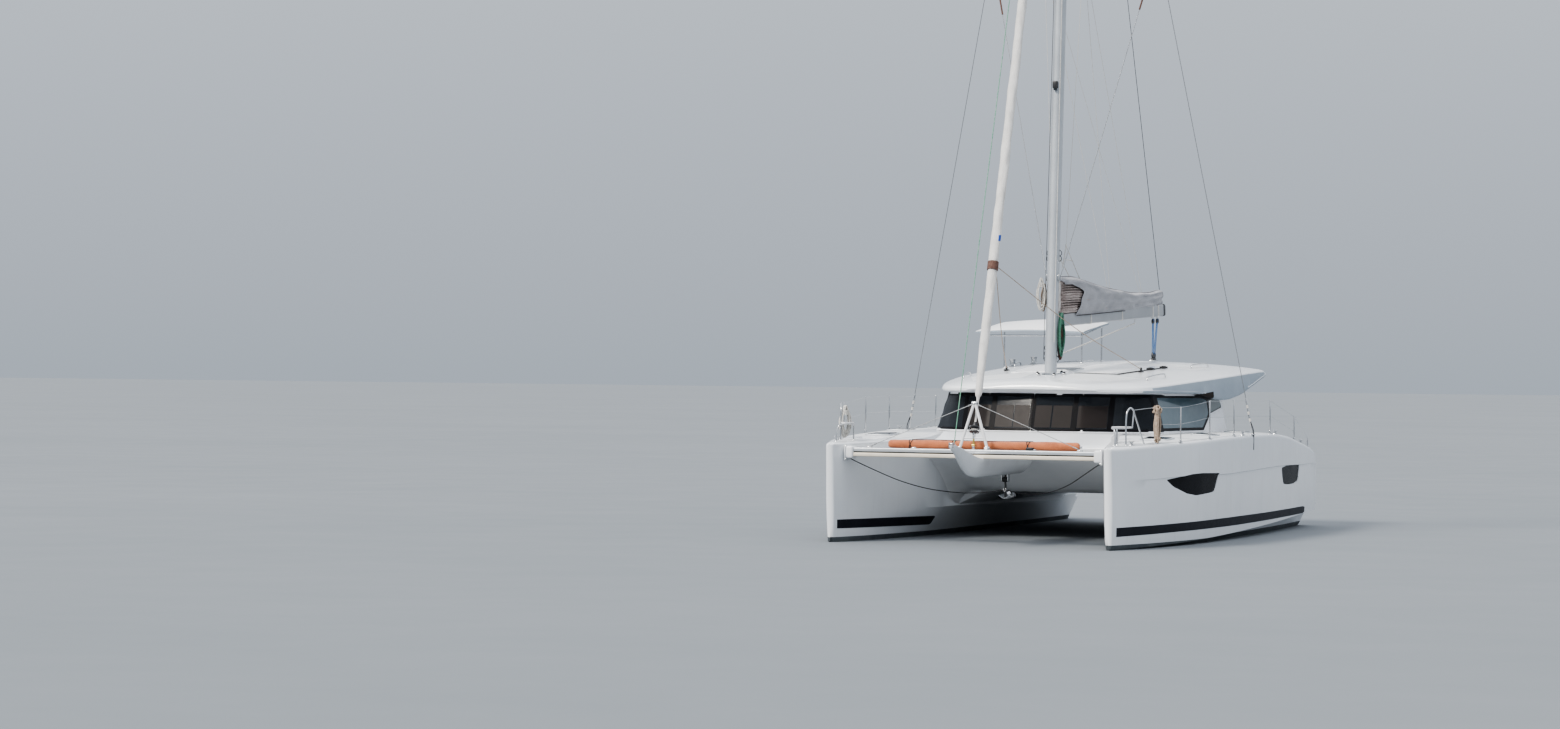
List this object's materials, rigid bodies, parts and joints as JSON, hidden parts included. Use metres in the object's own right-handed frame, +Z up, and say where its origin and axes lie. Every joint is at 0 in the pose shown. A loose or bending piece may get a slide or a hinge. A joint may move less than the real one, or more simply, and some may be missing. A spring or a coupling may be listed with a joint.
{
  "type": "sailing catamaran",
  "caption": "Cruising catamaran afloat: plumb-bowed twin hulls, wraparound cabin windows, wing-edged roof, bagged mainsail on its boom and a furled headsail.",
  "frame": {"origin": "on the waterline amidships, on the centreline", "axes": "+X to the bow, +Y to port, +Z up"},
  "size_m": [12.465, 6.638, 19.55],
  "materials": {
    "gelcoat": "gloss",
    "deck_moulding": "matte",
    "window_glass": "gloss",
    "aluminium": "satin",
    "stainless": "polished",
    "engine_paint": "satin",
    "rope": "matte",
    "bag_cloth": "matte",
    "sailcloth": "matte",
    "cover_cloth": "matte",
    "net": "matte",
    "antifouling": "matte",
    "bronze": "satin",
    "cushion": "matte",
    "wood": "satin"
  },
  "bodies": {
    "platform": {"aft_glass_port": "window_glass", "aft_glass_starboard": "window_glass", "anchor": "stainless", "bimini_frame": "stainless", "bridgedeck": "gelcoat", "bridle_port": "rope", "bridle_starboard": "rope", "cabin_walls": "gelcoat", "cap_shroud_port": "stainless", "cap_shroud_starboard": "stainless", "central_beam": "gelcoat", "coachroof": "gelcoat", "cockpit_bench": "cushion", "cockpit_table": "wood", "crossbeam": "aluminium", "engine_port": "engine_paint", "engine_starboard": "engine_paint", "furled_genoa": "sailcloth", "furler_drum": "engine_paint", "galley": "deck_moulding", "gooseneck": "stainless", "guardrail_port": "stainless", "guardrail_starboard": "stainless", "helm_bimini": "gelcoat", "helm_pod": "gelcoat", "helm_seat": "cushion", "hull_port": "gelcoat", "hull_starboard": "gelcoat", "keel_port": "antifouling", "keel_starboard": "antifouling", "mast": "aluminium", "quarter_glass_port": "window_glass", "quarter_glass_starboard": "window_glass", "rolled_sail": "cover_cloth", "saildrive_port": "engine_paint", "saildrive_starboard": "engine_paint", "saloon_bulkhead": "gelcoat", "saloon_seat": "cushion", "saloon_table": "wood", "side_glass_port": "window_glass", "side_glass_starboard": "window_glass", "striker": "aluminium", "trampoline_port": "net", "trampoline_starboard": "net", "windscreen": "window_glass"},
    "boom_and_bag": {"boom": "aluminium", "sail_bag": "bag_cloth"},
    "rudder_port_body": {"rudder_port": "antifouling"},
    "rudder_starboard_body": {"rudder_starboard": "antifouling"},
    "steering_wheel_body": {"helm_wheel": "stainless"},
    "propeller_port_body": {"propeller_port": "bronze"},
    "propeller_starboard_body": {"propeller_starboard": "bronze"},
    "door_body": {"saloon_door": "window_glass"},
    "bow_lid_port_body": {"bow_locker_lid_port": "deck_moulding"},
    "bow_lid_starboard_body": {"bow_locker_lid_starboard": "deck_moulding"},
    "engine_lid_port_body": {"engine_lid_port": "deck_moulding"},
    "engine_lid_starboard_body": {"engine_lid_starboard": "deck_moulding"}
  },
  "joints": [
    {"name": "boom_swing", "type": "hinge", "parent": "platform", "child": "boom_and_bag", "pos_m": [0.98333, 0, 3.845], "axis": [0, 0, 1], "range_deg": [-53.5, 62.5]},
    {"name": "rudder_port_turn", "type": "hinge", "parent": "platform", "child": "rudder_port_body", "pos_m": [-4.7, 2.43, -0.38], "axis": [0, 0, 1], "range_deg": [-35, 35]},
    {"name": "rudder_starboard_turn", "type": "hinge", "parent": "platform", "child": "rudder_starboard_body", "pos_m": [-4.7, -2.43, -0.38], "axis": [0, 0, 1], "range_deg": [-35, 35]},
    {"name": "wheel_turn", "type": "hinge", "parent": "platform", "child": "steering_wheel_body", "pos_m": [-3.125, -1.44, 2.15], "axis": [1, 0, 0], "range_deg": [-450, 450]},
    {"name": "propeller_port_spin", "type": "hinge", "parent": "platform", "child": "propeller_port_body", "pos_m": [-3.725, 2.43, -0.8], "axis": [1, 0, 0], "continuous": true},
    {"name": "propeller_starboard_spin", "type": "hinge", "parent": "platform", "child": "propeller_starboard_body", "pos_m": [-3.725, -2.43, -0.8], "axis": [1, 0, 0], "continuous": true},
    {"name": "saloon_door_slide", "type": "slide", "parent": "platform", "child": "door_body", "axis": [0, -1, 0], "range_m": [0, 0.7]},
    {"name": "bow_lid_port_hinge", "type": "hinge", "parent": "platform", "child": "bow_lid_port_body", "pos_m": [4.05, 2.19, 1.698], "axis": [1, 0, 0], "range_deg": [0, 80]},
    {"name": "bow_lid_starboard_hinge", "type": "hinge", "parent": "platform", "child": "bow_lid_starboard_body", "pos_m": [4.05, -2.19, 1.698], "axis": [-1, 0, 0], "range_deg": [0, 80]},
    {"name": "engine_lid_port_hinge", "type": "hinge", "parent": "platform", "child": "engine_lid_port_body", "pos_m": [-3.8, 2.42, 1.48], "axis": [0, 1, 0], "range_deg": [0, 80]},
    {"name": "engine_lid_starboard_hinge", "type": "hinge", "parent": "platform", "child": "engine_lid_starboard_body", "pos_m": [-3.8, -2.42, 1.48], "axis": [0, 1, 0], "range_deg": [0, 80]}
  ],
  "couplings": [
    {"joint": "rudder_starboard_turn", "follows": "rudder_port_turn", "ratio": 1},
    {"joint": "wheel_turn", "follows": "rudder_port_turn", "ratio": 12.857}
  ]
}
